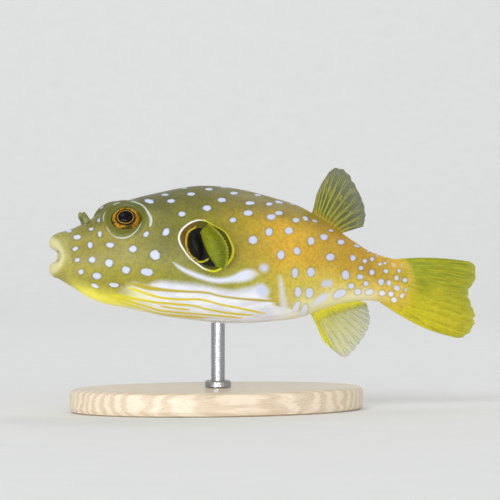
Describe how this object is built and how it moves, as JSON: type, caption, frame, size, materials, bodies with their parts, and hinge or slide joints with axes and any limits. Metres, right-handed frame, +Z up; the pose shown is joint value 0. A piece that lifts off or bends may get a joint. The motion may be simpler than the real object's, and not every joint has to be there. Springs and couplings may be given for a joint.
{
  "type": "white-spotted puffer fish display model",
  "caption": "Still, life-size model of a young white-spotted puffer swimming with its fins spread, held over an oval wooden base by one short rod.",
  "frame": {"origin": "middle of the base's underside, straight below the rod", "axes": "-X towards the snout, +X towards the tail fin, -Y to the fish's left flank, +Z up"},
  "size_m": [0.156, 0.0626, 0.0853],
  "materials": {
    "head": "moist fish skin, olive with white spots",
    "trunk": "moist fish skin, olive with white spots and a pale striped belly",
    "tail_stalk": "moist fish skin, golden brown with white spots",
    "caudal_fin": "moist yellow-green fin skin over branched rays",
    "dorsal_fin": "moist translucent fin skin over rays",
    "anal_fin": "moist translucent fin skin over yellow rays",
    "pectoral_fin_left": "moist translucent fin skin over yellow-green rays",
    "pectoral_fin_right": "moist translucent fin skin over yellow-green rays",
    "eye_left": "wet cornea over a golden iris and a black pupil",
    "eye_right": "wet cornea over a golden iris and a black pupil",
    "nostril_left": "soft fleshy flaps",
    "nostril_right": "soft fleshy flaps",
    "beak_upper": "smooth tooth enamel",
    "beak_lower": "smooth tooth enamel",
    "stand_base": "satin maple",
    "stand_rod": "brushed stainless steel"
  },
  "bodies": {
    "root": {"head": "head", "trunk": "trunk", "tail_stalk": "tail_stalk", "caudal_fin": "caudal_fin", "dorsal_fin": "dorsal_fin", "anal_fin": "anal_fin", "pectoral_fin_left": "pectoral_fin_left", "pectoral_fin_right": "pectoral_fin_right", "eye_left": "eye_left", "eye_right": "eye_right", "nostril_left": "nostril_left", "nostril_right": "nostril_right", "beak_upper": "beak_upper", "beak_lower": "beak_lower", "stand_base": "stand_base", "stand_rod": "stand_rod"}
  },
  "joints": []
}
